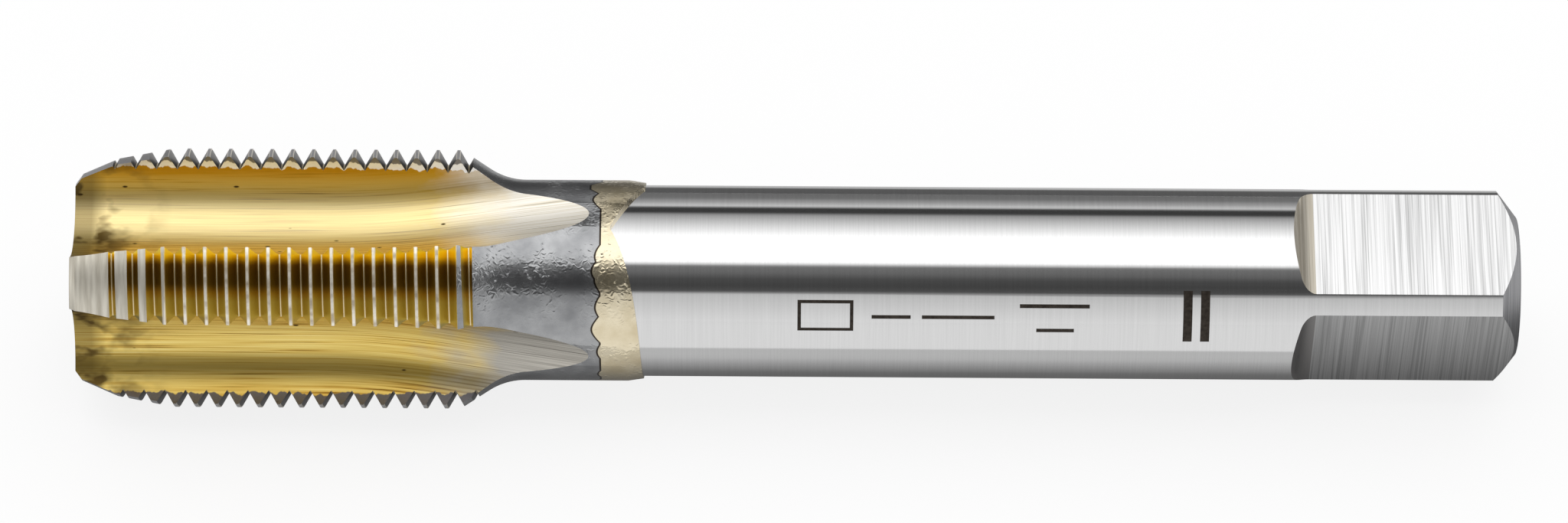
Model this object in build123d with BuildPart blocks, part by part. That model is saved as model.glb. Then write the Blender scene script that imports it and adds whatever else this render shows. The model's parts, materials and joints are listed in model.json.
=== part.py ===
from build123d import *

import os
from math import ceil, cos, radians, sin, sqrt, tan

# Straight-flute hand tap for an 18 mm fine thread, ground from one bar of high-speed steel.
# It lies along X with its cutting tip at -X and its drive square at +X, and it rests on two of
# its four lands. The origin is on the surface under it, halfway along. Sizes are in millimetres.

overall_length = 104.0

# The thread is right-handed with 60 degree flanks, so each flank leans half of that.
crest_diameter = 18.7
thread_pitch = 1.5
flank_lean = 30.0
crest_flat = 0.2
root_flat = 0.06
thread_end = 27.8

# The tip is a small front chamfer, a steep cone and then a slow lead up to the full crest.
tip_diameter = 13.8
front_chamfer_length = 0.45
front_chamfer_diameter = 15.0
steep_cone_length = 3.0
steep_cone_diameter = 17.2
lead_length = 7.0

# Behind the thread a shoulder falls to a neck, and a short taper leads to the ground shank.
shoulder_angle = 33.0
shoulder_radius = 4.8
neck_diameter = 14.5
neck_end = 39.9
neck_taper_length = 1.5
shank_diameter = 13.8

# Milled flutes leave as many lands. Each flute runs straight along the core and then rises
# through a blend and a ramp until it leaves the neck.
flute_count = 4
land_angle = 34.7
core_diameter = 8.8
flute_blend_radius = 45.0
flute_ramp_angle = 11.0
flute_end = 36.7

# The drive square is four flats with a steep run-out at the shank side. Its turn is how far
# the first flat leans from straight up towards the front.
square_across_flats = 10.8
square_length = 15.5
square_runout_angle = 60.0
square_runout_radius = 1.2
square_turn = 8.3

# The back end is a cone that leads the square into a wrench.
end_chamfer_length = 1.45
end_face_diameter = 10.0

# Both ends keep the centre holes that the bar was ground between.
centre_hole_diameter = 2.0
centre_hole_depth = 5.0
centre_countersink_diameter = 4.3
centre_countersink_angle = 60.0

# How far a cutter reaches past the surface that it cuts, and past each side of a land.
overrun = 1.0
overrun_angle = 9.0

thread_depth = (thread_pitch - crest_flat - root_flat) / 2 / tan(radians(flank_lean))
crest_radius = crest_diameter / 2
root_radius = crest_radius - thread_depth
core_radius = core_diameter / 2
neck_radius = neck_diameter / 2
shank_radius = shank_diameter / 2

# Half the angle that one flute opens at the crest, seen from the tap's axis.
half_opening = (360 / flute_count - land_angle) / 2

# The flute cutter is a circle that touches the core and passes through both crest edges of its
# flute. It runs straight, and then its path rises through the blend and along the ramp.
edge_distance = crest_radius * cos(radians(half_opening))
cutter_distance = (crest_radius**2 - core_radius**2) / (2 * (edge_distance - core_radius))
cutter_radius = cutter_distance - core_radius
blend_length = flute_blend_radius * sin(radians(flute_ramp_angle))
blend_rise = flute_blend_radius * (1 - cos(radians(flute_ramp_angle)))
ramp_length = (neck_radius - core_radius - blend_rise) / tan(radians(flute_ramp_angle))
ramp_start = flute_end - ramp_length
blend_start = ramp_start - blend_length


def cutter_rise(distance):
    """How far the cutter has risen at this distance from the tip."""
    along_blend = min(max(distance - blend_start, 0), blend_length)
    along_ramp = max(distance - ramp_start, 0)
    blend_part = flute_blend_radius - sqrt(flute_blend_radius**2 - along_blend**2)
    return blend_part + along_ramp * tan(radians(flute_ramp_angle))


# The lands are widest at the thread's end. The tap lies there on the two crest edges of the
# flute that faces down, which sets the height of its axis.
last_distance = cutter_distance + cutter_rise(thread_end)
axis_height = (crest_radius**2 + last_distance**2 - cutter_radius**2) / (2 * last_distance)
tip_x = -overall_length / 2
tip_centre = Vector(tip_x, 0, axis_height)

# In this plane x is the distance from the tip and y is the distance from the axis, upwards.
lathe_plane = Plane(origin=tip_centre, x_dir=(1, 0, 0), z_dir=(0, -1, 0))


def turned_plane(angle):
    """The lathe plane turned about the tap's axis, from straight up towards the front."""
    return lathe_plane.rotated((angle, 0, 0))


# One stretch of the thread groove. It follows the helix at the root for the width of one land
# and a little over, starting straight above the middle of the tip.
half_root = root_flat / 2
groove_overrun = crest_flat / 4
groove_height = thread_depth + groove_overrun
half_mouth = half_root + groove_height * tan(radians(flank_lean))
groove_angle = land_angle + 2 * overrun_angle

with BuildPart() as thread_groove:
    with BuildLine() as helix_path:
        Helix(
            pitch=thread_pitch,
            height=thread_pitch * groove_angle / 360,
            radius=root_radius,
            direction=(1, 0, 0),
        )
    with BuildSketch(Plane(origin=helix_path.line @ 0, x_dir=(1, 0, 0), z_dir=(0, -1, 0))):
        with BuildLine():
            Polyline(
                (-half_root, 0),
                (half_root, 0),
                (half_mouth, groove_height),
                (-half_mouth, groove_height),
                close=True,
            )
        make_face()
    sweep(path=helix_path.line, is_frenet=True)

# The groove crosses every land once a turn, each time a part of the pitch further on.
groove_turns = ceil((thread_end + overrun) / thread_pitch)
groove_places = []
for turn in range(1, groove_turns + 1):
    for land in range(flute_count):
        start_angle = (land + 0.5) * 360 / flute_count - groove_angle / 2
        start_x = tip_x + thread_pitch * (turn + start_angle / 360)
        groove_places.append(Location((start_x, 0, axis_height), (start_angle, 0, 0)))

# The flute cutters, each a round bar bent along the cutter's path.
ramp_foot = (ramp_start, cutter_distance + cutter_rise(ramp_start))
ramp_end = flute_end + crest_diameter

with BuildPart() as flute_cutters:
    for flute in range(flute_count):
        with BuildLine(turned_plane(flute * 360 / flute_count)) as cutter_path:
            Line((-overrun, cutter_distance), (blend_start, cutter_distance))
            JernArc((blend_start, cutter_distance), (1, 0), flute_blend_radius, flute_ramp_angle)
            Line(ramp_foot, (ramp_end, cutter_distance + cutter_rise(ramp_end)))
        with BuildSketch(Plane(origin=cutter_path.line @ 0, z_dir=(1, 0, 0))):
            Circle(cutter_radius)
        sweep(path=cutter_path.line)

# The four cuts of the square, drawn from the side and taken right across the shank.
half_flats = square_across_flats / 2
flat_start = overall_length - square_length
cut_top = shank_radius + overrun
runout_run = (cut_top - half_flats) / tan(radians(square_runout_angle))

with BuildPart() as square_cuts:
    for flat in range(4):
        with BuildSketch(turned_plane(square_turn + flat * 90)):
            with BuildLine():
                Polyline(
                    (flat_start - runout_run, cut_top),
                    (flat_start, half_flats),
                    (overall_length + overrun, half_flats),
                    (overall_length + overrun, cut_top),
                    close=True,
                )
            make_face()
            fillet(vertices().sort_by(Axis.X)[1], square_runout_radius)
        extrude(amount=cut_top, both=True)

# The tap: a turned blank with its shoulder, neck and end cone, then the flutes, the thread,
# the square and the centre holes.
shoulder_length = shoulder_radius * sin(radians(shoulder_angle))
shoulder_rise = shoulder_radius * (1 - cos(radians(shoulder_angle)))
shoulder_fall = crest_radius - neck_radius - shoulder_rise
shoulder_start = thread_end + shoulder_fall / tan(radians(shoulder_angle))
neck_start = shoulder_start + shoulder_length
chamfer_start = overall_length - end_chamfer_length
end_centre = tip_centre + Vector(overall_length, 0, 0)

with BuildPart() as thread_tap:
    with BuildSketch(lathe_plane):
        with BuildLine():
            shoulder = JernArc((neck_start, neck_radius), (-1, 0), shoulder_radius, -shoulder_angle)
            Polyline(
                (neck_start, neck_radius),
                (neck_end, neck_radius),
                (neck_end + neck_taper_length, shank_radius),
                (chamfer_start, shank_radius),
                (overall_length, end_face_diameter / 2),
                (overall_length, 0),
                (0, 0),
                (0, tip_diameter / 2),
                (front_chamfer_length, front_chamfer_diameter / 2),
                (steep_cone_length, steep_cone_diameter / 2),
                (lead_length, crest_radius),
                (thread_end, crest_radius),
                shoulder @ 1,
            )
        make_face()
    revolve(axis=Axis(tip_centre, (1, 0, 0)))
    add(flute_cutters.part, mode=Mode.SUBTRACT)
    with Locations(groove_places):
        add(thread_groove.part, mode=Mode.SUBTRACT)
    add(square_cuts.part, mode=Mode.SUBTRACT)
    with Locations(Plane(origin=tip_centre, z_dir=(-1, 0, 0)), Plane(origin=end_centre, z_dir=(1, 0, 0))):
        CounterSinkHole(
            radius=centre_hole_diameter / 2,
            counter_sink_radius=centre_countersink_diameter / 2,
            depth=centre_hole_depth,
            counter_sink_angle=centre_countersink_angle,
        )

thread_tap.part.label = "thread_tap"
os.makedirs("parts", exist_ok=True)
export_step(thread_tap.part, "parts/thread_tap.step")
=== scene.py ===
import json
from math import atan2, cos, degrees, exp, pi, radians, sin, sqrt, tan

import bpy
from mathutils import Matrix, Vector


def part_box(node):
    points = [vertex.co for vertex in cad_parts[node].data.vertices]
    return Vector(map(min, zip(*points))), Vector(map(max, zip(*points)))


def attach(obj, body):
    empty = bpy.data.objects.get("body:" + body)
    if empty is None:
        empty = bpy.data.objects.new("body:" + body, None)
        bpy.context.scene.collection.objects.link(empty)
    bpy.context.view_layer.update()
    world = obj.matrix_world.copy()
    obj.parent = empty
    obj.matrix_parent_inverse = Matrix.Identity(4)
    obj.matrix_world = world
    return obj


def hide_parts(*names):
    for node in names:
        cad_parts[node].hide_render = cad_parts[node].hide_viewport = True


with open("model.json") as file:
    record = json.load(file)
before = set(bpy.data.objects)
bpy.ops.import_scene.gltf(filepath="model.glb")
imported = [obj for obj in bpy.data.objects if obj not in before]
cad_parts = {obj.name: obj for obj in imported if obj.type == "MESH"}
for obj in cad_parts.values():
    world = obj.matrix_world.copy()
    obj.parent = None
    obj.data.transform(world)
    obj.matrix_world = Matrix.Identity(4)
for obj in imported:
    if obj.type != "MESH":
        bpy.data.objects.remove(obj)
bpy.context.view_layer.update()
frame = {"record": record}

# The turned blank. The whole tap is one bar of high-speed steel along X, with the tip at the low
# end. Turning between centres gives it a lead, a full crest, a shoulder that falls to the neck, a
# bar a little over the shank's size, and an end cone, and leaves a centre hole in both end faces.
MM = 0.001
shank_mount = next(mount for mount in frame["record"]["mounts"] if mount["name"] == "shank")
tap_low, tap_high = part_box("thread_tap")
tip_x = tap_low[0]
overall_length = (tap_high[0] - tap_low[0]) / MM
axis_z = shank_mount["pos_m"][2]
shank_radius = shank_mount["dims"]["r_mm"]
crest_radius = 9.35
thread_end = 27.8
tip_radius = 6.9
front_chamfer = (0.45, 7.5)
steep_cone = (3.0, 8.6)
lead_end = 7.0
shoulder_angle = radians(33)
shoulder_radius = 4.8
shoulder_steps = 10
neck_radius = 7.25
neck_end = 39.9
unground_start = 41.6
unground_radius = 7.0
end_cone_length = 1.45
end_face_radius = 5.0
centre_hole_radius = 1.0
centre_hole_depth = 5.0
countersink_radius = 2.15
countersink_lean = radians(30)
blank_segments = 192


def axis_point(x, height=0):
    """The point this far from the tip along the tap's axis and this far above it, in mm."""
    return Vector((tip_x + x * MM, 0, axis_z + height * MM))


def start_ring(name, centre, radius, segments):
    """An open ring that faces along the tap, left in edit mode with all of it selected."""
    bpy.ops.object.select_all(action="DESELECT")
    bpy.ops.mesh.primitive_circle_add(
        vertices=segments, radius=radius * MM, location=centre, rotation=(0, pi / 2, 0)
    )
    bpy.context.object.name = name
    bpy.ops.object.mode_set(mode="EDIT")
    return bpy.context.object


def extrude(move):
    """Extrudes what is selected by a move in mm."""
    bpy.ops.mesh.extrude_region_move(TRANSFORM_OT_translate={"value": Vector(move) * MM})


def close_body():
    """Closes the open ends and leaves edit mode, with faces outwards and the place in the mesh."""
    bpy.ops.mesh.select_all(action="SELECT")
    bpy.ops.mesh.fill_holes(sides=0)
    bpy.ops.mesh.normals_make_consistent(inside=False)
    bpy.ops.object.mode_set(mode="OBJECT")
    bpy.ops.object.transform_apply(location=True, rotation=True, scale=True)


countersink_length = (countersink_radius - centre_hole_radius) / tan(countersink_lean)
shoulder_rise = shoulder_radius * (1 - cos(shoulder_angle))
shoulder_start = thread_end + (crest_radius - neck_radius - shoulder_rise) / tan(shoulder_angle)
neck_start = shoulder_start + shoulder_radius * sin(shoulder_angle)
shoulder_curve = []
for step in range(shoulder_steps + 1):
    lean = shoulder_angle * (1 - step / shoulder_steps)
    shoulder_curve.append(
        (neck_start - shoulder_radius * sin(lean), neck_radius + shoulder_radius * (1 - cos(lean)))
    )
end_cone_slope = end_cone_length / (shank_radius - end_face_radius)
end_cone_start = overall_length - (unground_radius - end_face_radius) * end_cone_slope
blank_stations = [
    (centre_hole_depth, centre_hole_radius),
    (countersink_length, centre_hole_radius),
    (0, countersink_radius),
    (0, tip_radius),
    front_chamfer,
    steep_cone,
    (lead_end, crest_radius),
    (thread_end, crest_radius),
    *shoulder_curve,
    (neck_end, neck_radius),
    (unground_start, unground_radius),
    (end_cone_start, unground_radius),
    (overall_length, end_face_radius),
    (overall_length, countersink_radius),
    (overall_length - countersink_length, centre_hole_radius),
    (overall_length - centre_hole_depth, centre_hole_radius),
]
first_x, first_radius = blank_stations[0]
tap = start_ring("tap_body", axis_point(first_x), first_radius, blank_segments)
for (x, radius), (next_x, next_radius) in zip(blank_stations, blank_stations[1:]):
    extrude((next_x - x, 0, 0))
    grow = next_radius / radius
    bpy.ops.transform.resize(value=(1, grow, grow), center_override=axis_point(next_x))
close_body()

# A colour Mix goes by the numbers of its inputs: how much of the upper colour, and the two colours
# themselves. By name, Blender finds the inputs for plain numbers first.
colour_mix = {"data_type": "RGBA"}
SHARE = 0
LOWER = 6
UPPER = 7


def linear(hex_colour):
    """An sRGB hex colour as the linear colour that a shader takes."""
    channels = [int(hex_colour[i : i + 2], 16) / 255 for i in (1, 3, 5)]
    return [c / 12.92 if c <= 0.04045 else ((c + 0.055) / 1.055) ** 2.4 for c in channels] + [1]


def join(material, node, links):
    """Links a node's inputs to other nodes, each by its first output in use, or to sockets."""
    for name, source in links.items():
        if isinstance(source, bpy.types.Node):
            source = next(socket for socket in source.outputs if socket.enabled)
        material.node_tree.links.new(source, node.inputs[name])


def add_node(material, kind, settings, links=None, tones=()):
    """Adds a node, sets its properties, its inputs and the tones of its ramp, and links it."""
    node = material.node_tree.nodes.new("ShaderNode" + kind)
    for name, value in settings.items():
        if isinstance(name, int) or name in node.inputs:
            node.inputs[name].default_value = value
        else:
            setattr(node, name, value)
    for number, (position, colour) in enumerate(tones):
        if number > 1:
            node.color_ramp.elements.new(position)
        node.color_ramp.elements[number].position = position
        node.color_ramp.elements[number].color = linear(colour)
    join(material, node, links or {})
    return node


def steel_finish(name, roughness=None):
    """A new metal, its shader, and the place on the tap in mm from the centre of the tip."""
    material = bpy.data.materials.new(name)
    material.use_nodes = True
    shader = material.node_tree.nodes["Principled BSDF"]
    shader.inputs["Metallic"].default_value = 1
    if roughness is not None:
        shader.inputs["Roughness"].default_value = roughness
    spot = add_node(material, "TexCoord", {})
    from_tip = {"Scale": [1 / MM] * 3, "Location": -axis_point(0) / MM}
    place = add_node(material, "Mapping", from_tip, {"Vector": spot.outputs["Object"]})
    return material, shader, place


def scratches(material, place, per_mm, detail=3):
    """Noise with so many lines in a mm along the tap, across it and up."""
    drawn_out = add_node(material, "VectorMath", {"operation": "MULTIPLY", 1: per_mm}, {0: place})
    return add_node(material, "TexNoise", {"Scale": 1, "Detail": detail}, {"Vector": drawn_out})


def band(material, value, middle, edge, core, strength=1):
    """The strength up to the core on each side of the middle, and 0 from the edge outwards."""
    off_middle = add_node(material, "Math", {"operation": "SUBTRACT", 1: middle}, {0: value})
    off_middle = add_node(material, "Math", {"operation": "ABSOLUTE"}, {0: off_middle})
    fall = {"From Min": edge, "From Max": core, "To Max": strength}
    return add_node(material, "MapRange", fall, {"Value": off_middle})


# Furnace scale makes the hardened neck mid grey, clouded and finely wrinkled, so it glints where
# it is dark. The wrinkles lie some 0.4 mm apart. The neck's back end was polished before the last
# heat, and has a straw-coloured temper behind a dark edge with scallops some 2.5 mm wide.
temper_start = 37.15
temper_blur = 0.02
temper_scallop = 0.8
temper_edge = 0.09
wrinkle_height = 0.045
neck_steel, neck_shader, place = steel_finish("furnace_scaled_neck")
clouds = add_node(neck_steel, "TexNoise", {"Scale": 0.45, "Detail": 5}, {"Vector": place})
scale_tones = [(0.34, "#88898b"), (0.66, "#a8a9aa")]
scale_colour = add_node(neck_steel, "ValToRGB", {}, {"Fac": clouds}, scale_tones)
straw_tones = [(0.34, "#cdbf9f"), (0.66, "#e6dbc0")]
straw_colour = add_node(neck_steel, "ValToRGB", {}, {"Fac": clouds}, straw_tones)
across_only = {"operation": "MULTIPLY", 1: (0, 1, 1)}
outward = add_node(neck_steel, "VectorMath", across_only, {0: place})
outward = add_node(neck_steel, "VectorMath", {"operation": "NORMALIZE"}, {0: outward})
scallops = add_node(neck_steel, "TexVoronoi", {"Scale": 2.9}, {"Vector": outward})
scallops = add_node(neck_steel, "MapRange", {"From Min": 0.16, "From Max": 0.5}, {"Value": scallops})
axes = add_node(neck_steel, "SeparateXYZ", {}, {0: place})
scalloped = {"operation": "MULTIPLY_ADD", 1: -temper_scallop}
scalloped = add_node(neck_steel, "Math", scalloped, {0: scallops, 2: axes.outputs["X"]})
straw = {"From Min": temper_start, "From Max": temper_start + temper_blur}
straw = add_node(neck_steel, "MapRange", straw, {"Value": scalloped})
neck_tones = {SHARE: straw, LOWER: scale_colour, UPPER: straw_colour}
neck_colour = add_node(neck_steel, "Mix", colour_mix, neck_tones)
edge_line = band(neck_steel, scalloped, temper_start, temper_edge, temper_edge / 2)
dark_edge = colour_mix | {UPPER: linear("#38322a")}
neck_colour = add_node(neck_steel, "Mix", dark_edge, {SHARE: edge_line, LOWER: neck_colour})
wrinkle_form = {"noise_type": "RIDGED_MULTIFRACTAL", "Scale": 2.6, "Detail": 5, "Distortion": 0.8}
wrinkles = add_node(neck_steel, "TexNoise", wrinkle_form, {"Vector": place})
wrinkled = add_node(neck_steel, "MapRange", {"From Min": 0.36, "From Max": 0.56}, {"Value": clouds})
wrinkles = add_node(neck_steel, "Math", {"operation": "MULTIPLY"}, {0: wrinkles, 1: wrinkled})
neck_relief = add_node(neck_steel, "Bump", {"Distance": wrinkle_height * MM}, {"Height": wrinkles})
neck_gloss = add_node(neck_steel, "MapRange", {"To Min": 0.23, "To Max": 0.2}, {"Value": straw})
neck_finish = {"Base Color": neck_colour, "Roughness": neck_gloss, "Normal": neck_relief}
join(neck_steel, neck_shader, neck_finish)

# The crests and the lead are ground last, so they are bare steel with a faint warm tint. Two of the
# lands, which lie opposite each other, facing up and back and down and forward, are painted a dull
# grey as painted shade.
toward_upper_land = (0, sqrt(0.5), sqrt(0.5))
shaded_land_start = 4
shaded_land_full = 6


def painted_shade_lands(material, place):
    """1 on the two lands that are painted a grey shade, and 0 on the other two."""
    across = {"operation": "DOT_PRODUCT", 1: toward_upper_land}
    across = add_node(material, "VectorMath", across, {0: place})
    across = add_node(material, "Math", {"operation": "ABSOLUTE"}, {0: across})
    on_land = {"From Min": shaded_land_start, "From Max": shaded_land_full}
    return add_node(material, "MapRange", on_land, {"Value": across})


crest_steel, crest_shader, place = steel_finish("ground_steel_crests")
# On the two lands facing up and back and down and forward, the crests are painted grey as painted
# shade.
painted_shade_mask = painted_shade_lands(crest_steel, place)
crest_wear = scratches(crest_steel, place, (0.6, 1.2, 1.2), 2)
worn_crest = [(0.35, "#c4b8a2"), (0.6, "#fbf5e8")]
crest_colour = add_node(crest_steel, "ValToRGB", {}, {"Fac": crest_wear}, worn_crest)
painted_grey_shade = colour_mix | {UPPER: linear("#bab9ba")}
crest_colour = add_node(crest_steel, "Mix", painted_grey_shade, {SHARE: painted_shade_mask, LOWER: crest_colour})
crest_gloss = add_node(crest_steel, "MapRange", {"To Min": 0.42, "To Max": 0.7}, {"Value": painted_shade_mask})
join(crest_steel, crest_shader, {"Base Color": crest_colour, "Roughness": crest_gloss})

# The wheel leaves fine lines round the lead. They are drawn 0.4 mm apart, far coarser than real.
lead_line_depth = 0.003
lead_steel, lead_shader, place = steel_finish("ground_steel_lead", 0.42)
# On those two lands the lead is painted grey too, as painted shade.
painted_shade_mask = painted_shade_lands(lead_steel, place)
lead_lines = scratches(lead_steel, place, (2.5, 0.25, 0.25), 4)
lined_lead = [(0.3, "#b3ac9d"), (0.65, "#dfdacd")]
lead_colour = add_node(lead_steel, "ValToRGB", {}, {"Fac": lead_lines}, lined_lead)
lead_colour = add_node(lead_steel, "Mix", painted_grey_shade, {SHARE: painted_shade_mask, LOWER: lead_colour})
lead_relief = {"Distance": lead_line_depth * MM}
lead_relief = add_node(lead_steel, "Bump", lead_relief, {"Height": lead_lines})
join(lead_steel, lead_shader, {"Base Color": lead_colour, "Normal": lead_relief})

# The end faces, the centre holes and the end cone are a duller grey, with the rings that the
# turning tool left at its feed of about 0.17 mm a turn.
rings_per_mm = 6
ring_depth = 0.002


def axis_distance(material, place):
    """How far the place is from the tap's axis."""
    across = add_node(material, "VectorMath", across_only, {0: place})
    return add_node(material, "VectorMath", {"operation": "LENGTH"}, {0: across})


end_steel, end_shader, place = steel_finish("turned_steel_ends", 0.35)
axes = add_node(end_steel, "SeparateXYZ", {}, {0: place})
tool_path = {"X": axes.outputs["X"], "Y": axis_distance(end_steel, place)}
tool_path = add_node(end_steel, "CombineXYZ", {}, tool_path)
end_rings = scratches(end_steel, tool_path, [rings_per_mm] * 3)
ringed_end = [(0.3, "#7c7c7e"), (0.7, "#a6a6a8")]
end_colour = add_node(end_steel, "ValToRGB", {}, {"Fac": end_rings}, ringed_end)
end_relief = add_node(end_steel, "Bump", {"Distance": ring_depth * MM}, {"Height": end_rings})
join(end_steel, end_shader, {"Base Color": end_colour, "Normal": end_relief})

squarely = 0.999
blank_finishes = (neck_steel, crest_steel, lead_steel, end_steel)
for material in blank_finishes:
    tap.data.materials.append(material)
for face in tap.data.polygons:
    x = (face.center.x - tip_x) / MM
    in_hole = (face.center - axis_point(x)).length < countersink_radius * MM
    if x > end_cone_start or in_hole or abs(face.normal.x) > squarely:
        face.material_index = blank_finishes.index(end_steel)
    elif x < lead_end:
        face.material_index = blank_finishes.index(lead_steel)
    elif x < thread_end:
        face.material_index = blank_finishes.index(crest_steel)


# Four flutes are milled along the tap with a round-nosed cutter, which rises along a blend and a
# ramp until it leaves the neck. They part the thread into four lands and carry the chips away.
# They have a gold coat of titanium nitride.
flute_count = 4
land_angle = radians(34.7)
core_radius = 4.4
flute_blend_radius = 45.0
flute_blend_steps = 8
flute_ramp_angle = radians(11)
flute_end = 36.7
cutter_segments = 128
overrun = 1.0

half_opening = (2 * pi / flute_count - land_angle) / 2
edge_distance = crest_radius * cos(half_opening)
cutter_distance = (crest_radius**2 - core_radius**2) / (2 * (edge_distance - core_radius))
cutter_radius = cutter_distance - core_radius
blend_length = flute_blend_radius * sin(flute_ramp_angle)
blend_rise = flute_blend_radius * (1 - cos(flute_ramp_angle))
ramp_length = (neck_radius - core_radius - blend_rise) / tan(flute_ramp_angle)
blend_start = flute_end - ramp_length - blend_length


def turned_copies(body, count):
    """The body and its copies, spread evenly about the tap's axis."""
    bodies = [body]
    for number in range(1, count):
        bpy.ops.object.select_all(action="DESELECT")
        body.select_set(True)
        bpy.context.view_layer.objects.active = body
        bpy.ops.object.duplicate()
        bodies.append(bpy.context.object)
        turn = 2 * pi * number / count
        bpy.ops.transform.rotate(value=turn, orient_axis="X", center_override=axis_point(0))
        bpy.ops.object.transform_apply(location=True, rotation=True, scale=True)
    return bodies


def cut_tap(cutter):
    """Takes the cutter out of the tap. The cut faces get the cutter's own finish."""
    cut = tap.modifiers.new(cutter.name, "BOOLEAN")
    cut.operation = "DIFFERENCE"
    cut.solver = "EXACT"
    cut.material_mode = "TRANSFER"
    cut.object = cutter
    bpy.ops.object.select_all(action="DESELECT")
    tap.select_set(True)
    bpy.context.view_layer.objects.active = tap
    bpy.ops.object.modifier_apply(modifier=cut.name)
    bpy.data.objects.remove(cutter)


# The coat is a bright gold, brushed along the flutes in lines drawn about four times as wide as
# real ones. The lines follow each flute, so they go by how far across its own flute a place is.
brush_depth = 0.004
gold_coat, gold_shader, place = steel_finish("titanium_nitride_flutes")
axes = add_node(gold_coat, "SeparateXYZ", {}, {0: place})
along = axes.outputs["X"]
sideways = add_node(gold_coat, "Math", {"operation": "ABSOLUTE"}, {0: axes.outputs["Y"]})
upwards = add_node(gold_coat, "Math", {"operation": "ABSOLUTE"}, {0: axes.outputs["Z"]})
in_side_flute = add_node(gold_coat, "Math", {"operation": "LESS_THAN"}, {0: upwards, 1: sideways})
across_flute = {"Factor": in_side_flute, "A": axes.outputs["Y"], "B": axes.outputs["Z"]}
across_flute = add_node(gold_coat, "Mix", {"data_type": "FLOAT"}, across_flute)
brush_path = {"X": along, "Y": across_flute, "Z": in_side_flute}
brush_path = add_node(gold_coat, "CombineXYZ", {}, brush_path)
brushing = scratches(gold_coat, brush_path, (0.1, 11, 9))
brushed_gold = [
    (0.3, "#80622b"),
    (0.37, "#cca650"),
    (0.45, "#e4c66c"),
    (0.6, "#efd680"),
    (0.75, "#f7e39a"),
]
gold_colour = add_node(gold_coat, "ValToRGB", {}, {"Fac": brushing}, brushed_gold)

# The gold is painted paler along the upper flute as a painted highlight, amber under the upper teeth
# as a painted reflection, and darker in a streak along the lower flute as a painted dark reflection.
toward_highlight = (0, 0.75, 0.66)
highlight_middle = 4.3
amber_start = 6.3
amber_full = 8.7
amber_ragged = 1.6
dark_reflection_middle = -2.95
# Painted highlight: a paler band along the upper flute.
highlight_height = {"operation": "DOT_PRODUCT", 1: toward_highlight}
highlight_height = add_node(gold_coat, "VectorMath", highlight_height, {0: place})
painted_highlight = band(gold_coat, highlight_height, highlight_middle, edge=2.1, core=0.9, strength=0.5)
painted_highlight_gold = colour_mix | {UPPER: linear("#faecc0")}
gold_colour = add_node(gold_coat, "Mix", painted_highlight_gold, {SHARE: painted_highlight, LOWER: gold_colour})
toward_teeth = {"operation": "DOT_PRODUCT", 1: toward_upper_land}
toward_teeth = add_node(gold_coat, "VectorMath", toward_teeth, {0: place})
# Painted reflection: an amber band under the upper teeth.
amber_reflection = {"operation": "MULTIPLY_ADD", 1: amber_ragged}
amber_reflection = add_node(gold_coat, "Math", amber_reflection, {0: brushing, 2: toward_teeth})
amber_range = {"From Min": amber_start, "From Max": amber_full}
amber_reflection = add_node(gold_coat, "MapRange", amber_range, {"Value": amber_reflection})
painted_amber_reflection = colour_mix | {UPPER: linear("#c29120")}
gold_colour = add_node(gold_coat, "Mix", painted_amber_reflection, {SHARE: amber_reflection, LOWER: gold_colour})
# Painted dark reflection: a darker streak along the lower flute.
dark_reflection = band(gold_coat, across_flute, dark_reflection_middle, edge=0.7, core=0.2, strength=0.75)
painted_dark_reflection_gold = colour_mix | {UPPER: linear("#a0873f")}
gold_colour = add_node(gold_coat, "Mix", painted_dark_reflection_gold, {SHARE: dark_reflection, LOWER: gold_colour})

# Past the thread it fades to brushed steel, painted pale on top as painted light and dull grey below
# as painted shade.
fade_start = 29.5
fade_end = 36
fade_ragged = 9
clouds = scratches(gold_coat, place, (0.3, 0.5, 0.5))
fade = add_node(gold_coat, "Math", {"operation": "MULTIPLY_ADD", 1: fade_ragged}, {0: clouds, 2: along})
fade = add_node(gold_coat, "MapRange", {"From Min": fade_start, "From Max": fade_end}, {"Value": fade})
painted_shade_lines = [(0.3, "#7d7972"), (0.38, "#a5a199"), (0.6, "#c8c4bb")]
painted_shade_steel = add_node(gold_coat, "ValToRGB", {}, {"Fac": brushing}, painted_shade_lines)
painted_light_steel_lines = [(0.3, "#b3ab9a"), (0.38, "#e6decc"), (0.6, "#fbf7ee")]
painted_light_steel = add_node(gold_coat, "ValToRGB", {}, {"Fac": brushing}, painted_light_steel_lines)
# Painted light on the upper side and painted shade on the lower.
painted_light_on_top = add_node(gold_coat, "MapRange", {"From Min": -1, "From Max": 1}, {"Value": toward_teeth})
bare_steel = {SHARE: painted_light_on_top, LOWER: painted_shade_steel, UPPER: painted_light_steel}
bare_steel = add_node(gold_coat, "Mix", colour_mix, bare_steel)
faded_gold = {SHARE: fade, LOWER: gold_colour, UPPER: bare_steel}
gold_colour = add_node(gold_coat, "Mix", colour_mix, faded_gold)

# Beside the grey-painted teeth the gold gives way at a ragged line: at the upper teeth to bare steel,
# painted white as a painted highlight, with painted grey shade at their tips, and at the lower teeth
# to painted grey shade.
patch_ragged = 0.9
patch_blur = 0.04
ragged = scratches(gold_coat, place, (1.6, 0.1, 0.1), 2)
ragged = {0: ragged, 2: axis_distance(gold_coat, place)}
ragged = add_node(gold_coat, "Math", {"operation": "MULTIPLY_ADD", 1: patch_ragged}, ragged)
at_upper = {"From Min": shaded_land_start, "From Max": shaded_land_full}
at_upper = add_node(gold_coat, "MapRange", at_upper, {"Value": toward_teeth})
at_lower = {"From Min": -shaded_land_start, "From Max": -shaded_land_full}
at_lower = add_node(gold_coat, "MapRange", at_lower, {"Value": toward_teeth})
dull = fade
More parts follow.
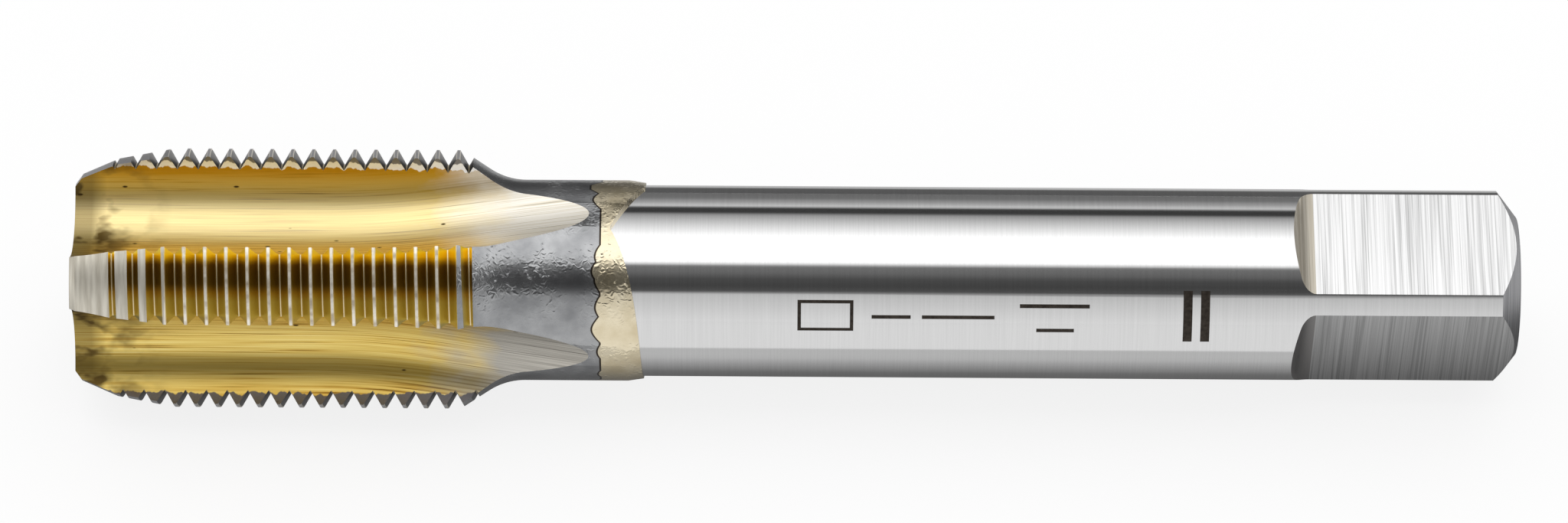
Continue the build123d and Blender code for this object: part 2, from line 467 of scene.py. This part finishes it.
# A painted highlight of white on the upper teeth, and painted grey shade at their tips and on the lower
# teeth.
for radius, colour, teeth in (
    (8.9, "#ffffff", at_upper),
    (9.38, "#8a898b", at_upper),
    (8.95, "#737175", at_lower),
):
    painted_patch = {"From Min": radius - patch_blur, "From Max": radius + patch_blur}
    painted_patch = add_node(gold_coat, "MapRange", painted_patch, {"Value": ragged})
    painted_patch = add_node(gold_coat, "Math", {"operation": "MULTIPLY"}, {0: painted_patch, 1: teeth})
    wear_and_painted_tone = colour_mix | {UPPER: linear(colour)}
    gold_colour = add_node(gold_coat, "Mix", wear_and_painted_tone, {SHARE: painted_patch, LOWER: gold_colour})
    dull = add_node(gold_coat, "Math", {"operation": "MAXIMUM"}, {0: dull, 1: painted_patch})

# Cutting oil has left blotches behind the front edge, the gold is darker towards the front edge, and
# a few pits lie about.
blotch_end = 7
blotch_full = 2
front_dark_end = 2.3
front_dark_full = 1.2
blotches = {"From Min": blotch_end, "From Max": blotch_full}
blotches = add_node(gold_coat, "MapRange", blotches, {"Value": along})
patches = add_node(gold_coat, "MapRange", {"From Min": 0.45, "From Max": 0.6}, {"Value": clouds})
blotches = add_node(gold_coat, "Math", {"operation": "MULTIPLY"}, {0: blotches, 1: patches})
front_darkening = {"From Min": front_dark_end, "From Max": front_dark_full, "To Max": 0.6}
front_darkening = add_node(gold_coat, "MapRange", front_darkening, {"Value": along})
blotches_and_darkening = add_node(gold_coat, "Math", {"operation": "MAXIMUM"}, {0: blotches, 1: front_darkening})
blotched_and_darkened_gold = colour_mix | {UPPER: linear("#64512a")}
gold_colour = add_node(gold_coat, "Mix", blotched_and_darkened_gold, {SHARE: blotches_and_darkening, LOWER: gold_colour})
pits = {"operation": "MULTIPLY", 1: (0.28, 0.7, 0.7)}
pits = add_node(gold_coat, "VectorMath", pits, {0: place})
pits = add_node(gold_coat, "TexVoronoi", {"Scale": 1}, {"Vector": pits})
pits = add_node(gold_coat, "MapRange", {"From Min": 0.07, "From Max": 0.04}, {"Value": pits})
pitted_gold = colour_mix | {UPPER: linear("#4b3a1c")}
gold_colour = add_node(gold_coat, "Mix", pitted_gold, {SHARE: pits, LOWER: gold_colour})
gold_relief = add_node(gold_coat, "Bump", {"Distance": brush_depth * MM}, {"Height": brushing})

# The coat keeps one gloss until it is half faded or half worn off, and is duller from there on.
gold_gloss = {"From Min": 0.5, "To Min": 0.42, "To Max": 0.5}
gold_gloss = add_node(gold_coat, "MapRange", gold_gloss, {"Value": dull})
gold_finish = {"Base Color": gold_colour, "Roughness": gold_gloss, "Normal": gold_relief}
join(gold_coat, gold_shader, gold_finish)

cutter_start = axis_point(-overrun, cutter_distance)
flute_cutter = start_ring("flute_cutter", cutter_start, cutter_radius, cutter_segments)
extrude((blend_start + overrun, 0, 0))
blend_centre = axis_point(blend_start, cutter_distance + flute_blend_radius)
blend_turn = flute_ramp_angle / flute_blend_steps
for step in range(flute_blend_steps):
    extrude((0, 0, 0))
    bpy.ops.transform.rotate(value=blend_turn, orient_axis="Y", center_override=blend_centre)
ramp_overrun = 4 * cutter_radius
ramp_reach = ramp_length + ramp_overrun
extrude((ramp_reach * cos(flute_ramp_angle), 0, ramp_reach * sin(flute_ramp_angle)))
close_body()
flute_cutter.data.materials.append(gold_coat)
for cutter in turned_copies(flute_cutter, flute_count):
    cut_tap(cutter)


# The shank is ground round from the neck to the end. The grinding wheel runs into the rougher
# neck there and leaves a thin lip, with one cusp where it met the run-out of a flute.
lip_x = 41.1
cusp_depth = 2.5
cusp_angle = 9.7
cusp_rise_angle = 36.0
cusp_fall_angle = 41.0
wheel_depth = 1.6
wall_facing = 0.5

# Cylindrical grinding leaves the shank almost a mirror, with very fine lines round it. They are
# drawn about 0.13 mm apart, some five times as far as real ones.
grinding_depth = 0.0002
shank_steel, shank_shader, place = steel_finish("cylinder_ground_shank", 0.09)
grinding = scratches(shank_steel, place, (8, 0.15, 0.15))
ground_lines = [(0.3, "#d1d1d1"), (0.7, "#d8d8d8")]
shank_colour = add_node(shank_steel, "ValToRGB", {}, {"Fac": grinding}, ground_lines)
shank_relief = add_node(shank_steel, "Bump", {"Distance": grinding_depth * MM}, {"Height": grinding})
join(shank_steel, shank_shader, {"Base Color": shank_colour, "Normal": shank_relief})

# The wheel is turned by half a segment, so that its edges don't lie on those of the blank.
grinding_wheel = start_ring("grinding_wheel", axis_point(lip_x), shank_radius, blank_segments)
half_segment = pi / blank_segments
bpy.ops.transform.rotate(value=half_segment, orient_axis="X", center_override=axis_point(0))
grinding_reach = overall_length + overrun - lip_x
extrude((grinding_reach, 0, 0))
extrude((0, 0, 0))
grow = (shank_radius + wheel_depth) / shank_radius
bpy.ops.transform.resize(value=(1, grow, grow), center_override=axis_point(overall_length))
extrude((-grinding_reach, 0, 0))
bpy.ops.mesh.select_mode(type="EDGE")
bpy.ops.mesh.select_all(action="DESELECT")
bpy.ops.mesh.select_non_manifold()
bpy.ops.mesh.bridge_edge_loops()
close_body()
for corner in grinding_wheel.data.vertices:
    if corner.co.x < axis_point(lip_x + overrun).x:
        angle = degrees(atan2(-corner.co.y, corner.co.z - axis_z))
        past_cusp = (angle - cusp_angle) % 360
        before_cusp = 360 - past_cusp
        rise = exp(-past_cusp / cusp_rise_angle)
        fall = max(1 - before_cusp / cusp_fall_angle, 0)
        corner.co.x -= cusp_depth * max(rise, fall) * MM

# The wall of the lip was heated with the neck, so it keeps the neck's straw colour.
wheel_finishes = (shank_steel, neck_steel)
for material in wheel_finishes:
    grinding_wheel.data.materials.append(material)
for face in grinding_wheel.data.polygons:
    on_wall = abs(face.normal.x) > wall_facing
    face.material_index = wheel_finishes.index(neck_steel if on_wall else shank_steel)
cut_tap(grinding_wheel)


# Four flats are ground across the end of the shank for a tap wrench. The edge of the wheel
# leaves a steep run-out with a rounded foot behind each flat.
flat_count = 4
across_flats = 10.8
square_length = 15.5
runout_angle = radians(60)
runout_radius = 1.2
runout_steps = 6
square_turn = radians(8.3)
flat_cut_width = 20.0
near = 0.01

# Fine scratches run over the flats from side to side, drawn some three times as wide as real ones.
# The first flat, which faces up, is painted brighter as painted light, and the others darker as painted
# shade. Its run-out has a straw tint and is painted lighter than the dull grey of the others.
toward_first_flat = (0, -sin(square_turn), cos(square_turn))
scratch_depth = 0.0015
first_side_start = 5
first_side_full = 5.3


def first_flat_side(material, place):
    """1 on the first flat and its run-out, which are painted lighter, and 0 on the others."""
    height = {"operation": "DOT_PRODUCT", 1: toward_first_flat}
    height = add_node(material, "VectorMath", height, {0: place})
    on_side = {"From Min": first_side_start, "From Max": first_side_full}
    return add_node(material, "MapRange", on_side, {"Value": height})


flat_steel, flat_shader, place = steel_finish("cross_ground_flats", 0.28)
painted_light_side = first_flat_side(flat_steel, place)
scratch = scratches(flat_steel, place, (12, 0.05, 0.05), 4)
painted_shade_lines = [(0.3, "#a9a9a9"), (0.7, "#c6c6c6")]
painted_shade_flat = add_node(flat_steel, "ValToRGB", {}, {"Fac": scratch}, painted_shade_lines)
painted_light_flat_lines = [(0.3, "#b4b4b4"), (0.45, "#e6e6e6"), (0.7, "#f8f8f8")]
painted_light_flat = add_node(flat_steel, "ValToRGB", {}, {"Fac": scratch}, painted_light_flat_lines)
# The first flat is painted brighter as painted light, and the others darker as painted shade.
flat_tones = {SHARE: painted_light_side, LOWER: painted_shade_flat, UPPER: painted_light_flat}
flat_colour = add_node(flat_steel, "Mix", colour_mix, flat_tones)
smudges = scratches(flat_steel, place, (6, 0.07, 0.07), 4)
smudge_tones = [(0.38, "#e2e2e2"), (0.52, "#ffffff")]
smudged = add_node(flat_steel, "ValToRGB", {}, {"Fac": smudges}, smudge_tones)
multiplied = colour_mix | {"blend_type": "MULTIPLY", SHARE: 1}
flat_colour = add_node(flat_steel, "Mix", multiplied, {LOWER: flat_colour, UPPER: smudged})
flat_relief = add_node(flat_steel, "Bump", {"Distance": scratch_depth * MM}, {"Height": scratch})
join(flat_steel, flat_shader, {"Base Color": flat_colour, "Normal": flat_relief})

runout_steel, runout_shader, place = steel_finish("ground_square_run_out", 0.35)
painted_light_side = first_flat_side(runout_steel, place)
scratch = scratches(runout_steel, place, (9, 0.1, 0.1))
straw_lines = [(0.3, "#b2aa9b"), (0.7, "#d6d0c3")]
straw_and_painted_light_runout = add_node(runout_steel, "ValToRGB", {}, {"Fac": scratch}, straw_lines)
# The run-outs of the other flats are painted a dull grey as painted shade.
painted_shade_runout = colour_mix | {LOWER: linear("#8f8d8c")}
runout_tones = {SHARE: painted_light_side, UPPER: straw_and_painted_light_runout}
runout_colour = add_node(runout_steel, "Mix", painted_shade_runout, runout_tones)
join(runout_steel, runout_shader, {"Base Color": runout_colour})

flat_height = across_flats / 2
cut_height = shank_radius + overrun - flat_height
flat_start = overall_length - square_length
bpy.ops.object.select_all(action="DESELECT")
bpy.ops.mesh.primitive_cube_add(
    size=MM,
    location=axis_point(flat_start + (square_length + overrun) / 2, flat_height + cut_height / 2),
    scale=(square_length + overrun, flat_cut_width, cut_height),
)
flat_cutter = bpy.context.object
flat_cutter.name = "flat_cutter"
bpy.ops.object.transform_apply(location=True, rotation=True, scale=True)


def select_edge_across(body, middle):
    """Selects only the edge that runs across the tap through this point, and edits the body."""
    bpy.ops.object.mode_set(mode="EDIT")
    bpy.ops.mesh.select_mode(type="EDGE")
    bpy.ops.mesh.select_all(action="DESELECT")
    bpy.ops.object.mode_set(mode="OBJECT")
    for edge in body.data.edges:
        ends = [body.data.vertices[corner].co for corner in edge.vertices]
        edge.select = (sum(ends, Vector()) / 2 - middle).length < near * MM
    bpy.ops.object.mode_set(mode="EDIT")


select_edge_across(flat_cutter, axis_point(flat_start, flat_height + cut_height))
bpy.ops.transform.translate(value=(-cut_height / tan(runout_angle) * MM, 0, 0))
select_edge_across(flat_cutter, axis_point(flat_start, flat_height))
foot_length = runout_radius * tan(runout_angle / 2)
bpy.ops.mesh.bevel(offset=foot_length * MM, segments=runout_steps, affect="EDGES")
close_body()
cut_finishes = (flat_steel, runout_steel)
for material in cut_finishes:
    flat_cutter.data.materials.append(material)
for face in flat_cutter.data.polygons:
    faces_down = face.normal.z < -squarely
    face.material_index = cut_finishes.index(flat_steel if faces_down else runout_steel)
bpy.ops.transform.rotate(value=-square_turn, orient_axis="X", center_override=axis_point(0))
bpy.ops.object.transform_apply(location=True, rotation=True, scale=True)
for cutter in turned_copies(flat_cutter, flat_count):
    cut_tap(cutter)


# The shank is marked by a laser, which burns a thin dark layer into the steel. The marks here are
# plain: an outlined field, a few short dashes and the two bars that number a tap in its set.
mark_depth = 0.02
mark_step_angle = 2
field_x = (52.1, 56.1)
field_angles = (52.2, 71.8)
field_line = 0.25
field_line_angle = 2.0

# Where each mark starts and ends along the tap, and then round it from straight up to the front.
marks = [
    (*field_x, field_angles[0], field_angles[0] + field_line_angle),
    (*field_x, field_angles[1] - field_line_angle, field_angles[1]),
    (field_x[0], field_x[0] + field_line, *field_angles),
    (field_x[1] - field_line, field_x[1], *field_angles),
    (57.4, 60.2, 61.3, 63.6),
    (61.0, 66.2, 61.3, 63.6),
    (68.0, 73.0, 54.0, 56.4),
    (69.2, 71.9, 69.5, 71.9),
    (79.7, 80.35, 45.4, 78.0),
    (80.95, 81.6, 45.4, 78.0),
]

# The burnt layer is a dull brownish black, mottled in spots of about 0.25 mm by the laser's passes.
laser_burn, burn_shader, place = steel_finish("laser_mark", 0.6)
passes = scratches(laser_burn, place, (4, 4, 4))
burnt_tones = [(0.3, "#35302c"), (0.7, "#4a443e")]
burn_colour = add_node(laser_burn, "ValToRGB", {}, {"Fac": passes}, burnt_tones)
join(laser_burn, burn_shader, {"Base Color": burn_colour})

for x_from, x_to, angle_from, angle_to in marks:
    bpy.ops.object.select_all(action="DESELECT")
    bpy.ops.mesh.primitive_plane_add(size=MM, location=axis_point(0), rotation=(pi / 2, 0, 0))
    mark = bpy.context.object
    mark.name = "mark_cutter"
    bpy.ops.object.mode_set(mode="EDIT")
    bpy.ops.transform.resize(value=(x_to - x_from, 1, 2 * mark_depth))
    bpy.ops.transform.translate(value=((x_from + x_to) / 2 * MM, 0, shank_radius * MM))
    turn = -radians(angle_from)
    bpy.ops.transform.rotate(value=turn, orient_axis="X", center_override=axis_point(0))
    bpy.ops.mesh.spin(
        steps=max(round((angle_to - angle_from) / mark_step_angle), 2),
        angle=-radians(angle_to - angle_from),
        center=axis_point(0),
        axis=(1, 0, 0),
    )
    close_body()
    mark.data.materials.append(laser_burn)
    cut_tap(mark)


# The thread is one right-hand groove with 60 degree flanks, ground in at a pitch of 1.5 mm. It
# runs out in the air past the shoulder, and the lead cones cut off the tops of its first turns.
thread_pitch = 1.5
flank_lean = radians(30)
crest_flat = 0.2
root_flat = 0.06
thread_steps = 120
thread_depth = (thread_pitch - crest_flat - root_flat) / 2 / tan(flank_lean)
root_radius = crest_radius - thread_depth
groove_overrun = 0.4
groove_turns = 22

# The coat is thickest on the flanks, where it is a deep gold. Across a land it is painted dark brown
# through the middle as painted shade and bright yellow at the upper edge as a painted highlight. The
# two grey lands have flanks painted dark grey as painted shade. Wear shows as a bright line along the
# root and the crest, and these lines are drawn wider than real ones.
half_land = 2.8
root_line = 0.035
crest_line = 0.09
line_blur = 0.01
flank_coat, flank_shader, place = steel_finish("titanium_nitride_flanks", 0.3)
up_land = {"operation": "DOT_PRODUCT", 1: toward_upper_land}
up_land = add_node(flank_coat, "VectorMath", up_land, {0: place})
land_range = {"From Min": -half_land, "From Max": half_land}
up_land = add_node(flank_coat, "MapRange", land_range, {"Value": up_land})
# These tones across a land are painted shade in its middle and a painted highlight at its upper edge.
painted_shade_and_highlight_gold = [
    (0.3, "#d2c078"),
    (0.41, "#ccae58"),
    (0.52, "#a18840"),
    (0.77, "#a0823a"),
    (0.89, "#f2d340"),
]
flank_colour = add_node(flank_coat, "ValToRGB", {}, {"Fac": up_land}, painted_shade_and_highlight_gold)
# On those two lands the flanks are painted a dark grey as painted shade.
painted_shade_mask = painted_shade_lands(flank_coat, place)
painted_dark_shade = colour_mix | {UPPER: linear("#625f5d")}
flank_colour = add_node(flank_coat, "Mix", painted_dark_shade, {SHARE: painted_shade_mask, LOWER: flank_colour})
off_axis = axis_distance(flank_coat, place)
for radius, width, colour in (
    (root_radius, root_line, "#e6d7b2"),
    (crest_radius, crest_line, "#f6efdf"),
):
    line = band(flank_coat, off_axis, radius, width + line_blur, width - line_blur)
    wear_and_painted_tone = colour_mix | {UPPER: linear(colour)}
    flank_colour = add_node(flank_coat, "Mix", wear_and_painted_tone, {SHARE: line, LOWER: flank_colour})
join(flank_coat, flank_shader, {"Base Color": flank_colour})

groove_start = axis_point(-thread_pitch)
bpy.ops.object.select_all(action="DESELECT")
bpy.ops.mesh.primitive_plane_add(size=1, location=groove_start, rotation=(pi / 2, 0, 0))
groove_cutter = bpy.context.object
groove_cutter.name = "groove_cutter"
bpy.ops.object.mode_set(mode="EDIT")
bpy.ops.transform.resize(value=(root_flat * MM, 1, thread_depth * MM))
bpy.ops.transform.translate(value=(0, 0, (root_radius + thread_depth / 2) * MM))
bpy.ops.mesh.select_mode(type="EDGE")
bpy.ops.object.mode_set(mode="OBJECT")
bpy.ops.object.transform_apply(location=False, rotation=True, scale=True)


def select_edges_at(body, height):
    """Selects only the edges that lie this high in the body's mesh, in mm, and edits them."""
    bpy.ops.object.mode_set(mode="EDIT")
    bpy.ops.mesh.select_all(action="DESELECT")
    bpy.ops.object.mode_set(mode="OBJECT")
    for edge in body.data.edges:
        corners = [body.data.vertices[corner].co.z / MM for corner in edge.vertices]
        edge.select = all(abs(corner - height) < near for corner in corners)
    bpy.ops.object.mode_set(mode="EDIT")


select_edges_at(groove_cutter, crest_radius)
mouth_grow = (thread_pitch - crest_flat) / root_flat
bpy.ops.transform.resize(value=(mouth_grow, 1, 1), center_override=groove_start)
extrude((0, 0, groove_overrun))
select_edges_at(groove_cutter, crest_radius)
bpy.ops.mesh.dissolve_edges(use_verts=False)
bpy.ops.object.mode_set(mode="OBJECT")
helix = groove_cutter.modifiers.new("helix", "SCREW")
helix.axis = "X"
helix.angle = 2 * pi
helix.iterations = groove_turns
helix.screw_offset = thread_pitch * MM
helix.steps = thread_steps
helix.render_steps = thread_steps
bpy.ops.object.modifier_apply(modifier=helix.name)
bpy.ops.object.mode_set(mode="EDIT")
close_body()
groove_cutter.data.materials.append(flank_coat)
cut_tap(groove_cutter)


# The finished tap is one piece of steel, with its turned, milled and ground surfaces smooth and
# its cutting edges sharp. It takes the place of the whole CAD node and rides on the one body.
smooth_angle = radians(24)
bpy.ops.object.shade_smooth_by_angle(angle=smooth_angle)
weighting = tap.modifiers.new("weighting", "WEIGHTED_NORMAL")
weighting.keep_sharp = True
bpy.ops.object.modifier_apply(modifier=weighting.name)
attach(tap, "root")
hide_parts("thread_tap")


# The tap lies on a pale table under one large softbox. A curved screen round it and a strip on the
# table are there for reflections alone, and give the bare steel its white and dark bands.
photo_width = 2048
camera_elevation = radians(48.6)
camera_distance = 0.55
frame_width = 0.1135
pixels_right = 16
pixels_down = 26
picture_turn = radians(0.36)
sensor_width = 36.0

scene = bpy.context.scene
scene.view_settings.view_transform = "Standard"

# The camera looks from the photograph's angle. The middle of the tap lies a few pixels right of
# its picture's middle and below it.
pixel = frame_width / photo_width
toward_camera = Vector((0, -cos(camera_elevation), sin(camera_elevation)))
camera_up = Vector((0, sin(camera_elevation), cos(camera_elevation)))
aim = axis_point(overall_length / 2)
aim += (camera_up * pixels_down - Vector((pixels_right, 0, 0))) * pixel
camera_place = aim + toward_camera * camera_distance
camera_turn = (pi / 2 - camera_elevation, 0, 0)
bpy.ops.object.select_all(action="DESELECT")
bpy.ops.object.camera_add(location=camera_place, rotation=camera_turn)
camera = bpy.context.object
camera.rotation_euler.rotate_axis("Z", picture_turn)
camera.data.sensor_width = sensor_width
camera.data.lens = sensor_width * camera_distance / frame_width
camera.data.clip_start = 0.01
scene.camera = camera

# The softbox is cloth over lamps. It hangs a little behind the tap and lights it evenly from above.
softbox_height = 0.6
softbox_back = 0.25
softbox_size = (1.2, 0.86)
softbox_glow = 1.5
bpy.ops.object.light_add(type="AREA", location=(0, softbox_back, softbox_height))
softbox = bpy.context.object
softbox.data.shape = "RECTANGLE"
softbox.data.size, softbox.data.size_y = softbox_size
softbox.data.energy = softbox_glow * pi * softbox_size[0] * softbox_size[1]
softbox.visible_glossy = False

# The screen is half a cylinder of cloth. Its tones go by the angle in degrees from level on the
# camera's side, over the top, to level behind the tap. It is white overhead, between dark bands.
screen_radius = 0.5
screen_length = 2.4
screen_segments = 180
screen_glow = 1.6
screen_tones = [
    (0, "#cfcfcf"),
    (34, "#b4b4b4"),
    (37, "#484848"),
    (44, "#3c3c3c"),
    (52, "#444444"),
    (60, "#606060"),
    (67, "#666666"),
    (72, "#ffffff"),
    (104, "#ffffff"),
    (112, "#e4e4e4"),
    (122, "#c2c2c2"),
    (135, "#8c8c8c"),
    (139, "#343434"),
    (147, "#343434"),
    (151, "#bcbcbc"),
    (158, "#959595"),
    (168, "#696969"),
    (180, "#616161"),
]


def stage_sheet(name, material):
    """Gives the selected sheet its name and its material."""
    sheet = bpy.context.object
    sheet.name = name
    bpy.ops.object.transform_apply(location=True, rotation=True, scale=True)
    sheet.data.materials.append(material)
    return sheet


def glow_material(name, strength):
    """A plain material that only glows, its glow, and the axes of the place on it in metres."""
    material = bpy.data.materials.new(name)
    material.use_nodes = True
    material.node_tree.nodes.remove(material.node_tree.nodes["Principled BSDF"])
    glow = add_node(material, "Emission", {"Strength": strength})
    join(material, material.node_tree.nodes["Material Output"], {"Surface": glow})
    spot = add_node(material, "TexCoord", {})
    axes = add_node(material, "SeparateXYZ", {}, {0: spot.outputs["Object"]})
    return material, glow, axes


screen_cloth, screen_light, axes = glow_material("screen_cloth", screen_glow)
forward = add_node(screen_cloth, "Math", {"operation": "MULTIPLY", 1: -1}, {0: axes.outputs["Y"]})
angle = {0: axes.outputs["Z"], 1: forward}
angle = add_node(screen_cloth, "Math", {"operation": "ARCTAN2"}, angle)
angle = add_node(screen_cloth, "Math", {"operation": "DIVIDE", 1: pi}, {0: angle})
screen_shades = [(degree / 180, tone) for degree, tone in screen_tones]
screen_colour = add_node(screen_cloth, "ValToRGB", {}, {"Fac": angle}, screen_shades)
join(screen_cloth, screen_light, {"Color": screen_colour})
bpy.ops.object.select_all(action="DESELECT")
bpy.ops.mesh.primitive_cylinder_add(
    vertices=screen_segments,
    radius=screen_radius,
    depth=screen_length,
    end_fill_type="NOTHING",
    rotation=(0, pi / 2, 0),
)
screen = stage_sheet("reflected_screen", screen_cloth)
bpy.ops.object.mode_set(mode="EDIT")
bpy.ops.mesh.select_all(action="SELECT")
bpy.ops.mesh.bisect(plane_co=(0, 0, 0), plane_no=(0, 0, 1), clear_inner=True)
bpy.ops.object.mode_set(mode="OBJECT")

# The strip lies on the table under the tap and behind it, and only reflections see it. Under the tap
# its dark tone is a painted shadow, and behind the tap it is dark cloth. Its tones go by the distance
# in mm behind the tap's axis, and are paler towards the camera and just behind the tap.
strip_front = -17
strip_back = 450
strip_length = 150
strip_lift = 0.4
# The dark tones from 5.5 mm in front of the axis to 8 mm behind it are a painted shadow.
strip_tones = [
    (-12, "#d4d4d4"),
    (-5.5, "#6c6c6c"),
    (8, "#6c6c6c"),
    (22, "#c8c8c8"),
    (30, "#c8c8c8"),
    (40, "#646464"),
]
strip_cloth_and_shadow, strip_light, axes = glow_material("dark_cloth_and_painted_shadow", 1)
behind = {"From Min": strip_front * MM, "From Max": strip_back * MM}
behind = add_node(strip_cloth_and_shadow, "MapRange", behind, {"Value": axes.outputs["Y"]})
strip_width = strip_back - strip_front
strip_shades = [((y - strip_front) / strip_width, tone) for y, tone in strip_tones]
strip_colour = add_node(strip_cloth_and_shadow, "ValToRGB", {}, {"Fac": behind}, strip_shades)
join(strip_cloth_and_shadow, strip_light, {"Color": strip_colour})
strip_middle = Vector((0, (strip_front + strip_back) / 2, strip_lift)) * MM
bpy.ops.object.select_all(action="DESELECT")
bpy.ops.mesh.primitive_plane_add(size=1, location=strip_middle)
bpy.context.object.scale = (strip_length * MM, strip_width * MM, 1)
strip = stage_sheet("reflected_dark_strip", strip_cloth_and_shadow)
for sheet in (screen, strip):
    sheet.visible_camera = False
    sheet.visible_diffuse = False
    sheet.visible_shadow = False


def seen_white(material):
    """1 for rays from the camera, a mirror or glass, which see the white ground, and 0 for light."""
    ray = add_node(material, "LightPath", {})
    seen = ray.outputs["Is Camera Ray"]
    for kind in ("Is Glossy Ray", "Is Transmission Ray"):
        seen = add_node(material, "Math", {"operation": "MAXIMUM"}, {0: seen, 1: ray.outputs[kind]})
    return seen


# The table has matt pale paint. It is lifted to white where it is seen, and keeps a faint shadow.
table_size = 4.0
table_lift = 0.84
table_paint = bpy.data.materials.new("pale_table")
table_paint.use_nodes = True
table_shader = table_paint.node_tree.nodes["Principled BSDF"]
table_shader.inputs["Base Color"].default_value = linear("#e8e8e8")
table_shader.inputs["Roughness"].default_value = 0.9
table_shader.inputs["Specular IOR Level"].default_value = 0
lift = seen_white(table_paint)
lift = add_node(table_paint, "Math", {"operation": "MULTIPLY", 1: table_lift}, {0: lift})
white_glow = add_node(table_paint, "Emission", {"Strength": 1})
seen_table = add_node(table_paint, "MixShader", {}, {0: lift, 1: table_shader, 2: white_glow})
join(table_paint, table_paint.node_tree.nodes["Material Output"], {"Surface": seen_table})
bpy.ops.object.select_all(action="DESELECT")
bpy.ops.mesh.primitive_plane_add(size=table_size, location=(0, 0, 0))
stage_sheet("table", table_paint)

# The studio's air is white where it is seen, and adds a little light from all round.
studio_air = 0.6
world = bpy.data.worlds.new("studio")
world.use_nodes = True
scene.world = world
backdrop = world.node_tree.nodes["Background"]
backdrop.inputs["Color"].default_value = linear("#ffffff")
air = {"To Min": studio_air, "To Max": 1}
air = add_node(world, "MapRange", air, {"Value": seen_white(world)})
join(world, backdrop, {"Strength": air})

bpy.context.view_layer.update()
